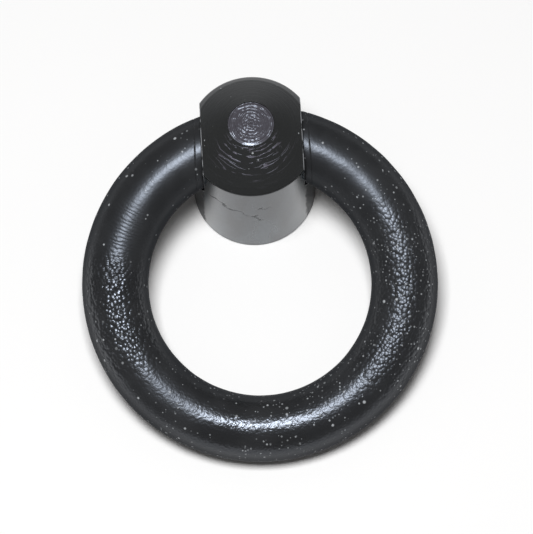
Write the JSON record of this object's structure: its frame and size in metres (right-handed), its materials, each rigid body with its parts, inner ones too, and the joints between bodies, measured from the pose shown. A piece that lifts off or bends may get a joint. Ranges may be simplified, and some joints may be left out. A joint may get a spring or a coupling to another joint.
{
  "type": "ring pull handle",
  "caption": "Ring pull for a drawer or door: a thick round-bar ring swings on a turned post with flats and a cone nose, screwed on from behind.",
  "frame": {"origin": "centre of the post's mounting face, on the screw hole's axis", "axes": "+Z along the post, away from the surface it is fixed to; X along the ring's pivot; the ring lies towards -Y, its far side on the mounting plane. On an upright drawer front +Y is up and +Z faces the user."},
  "size_m": [0.0508, 0.0517, 0.0274],
  "materials": {
    "post_black": "black semi-gloss paint over turning marks",
    "ring_black": "black semi-gloss paint with fine pale specks"
  },
  "bodies": {
    "post_body": {"post": "post_black"},
    "ring_body": {"ring": "ring_black"}
  },
  "joints": [
    {"name": "ring_swing", "type": "hinge", "parent": "post_body", "child": "ring_body", "pos_m": [0, 0, 0.017], "axis": [-1, 0, 0], "range_deg": [0, 215.5]}
  ]
}
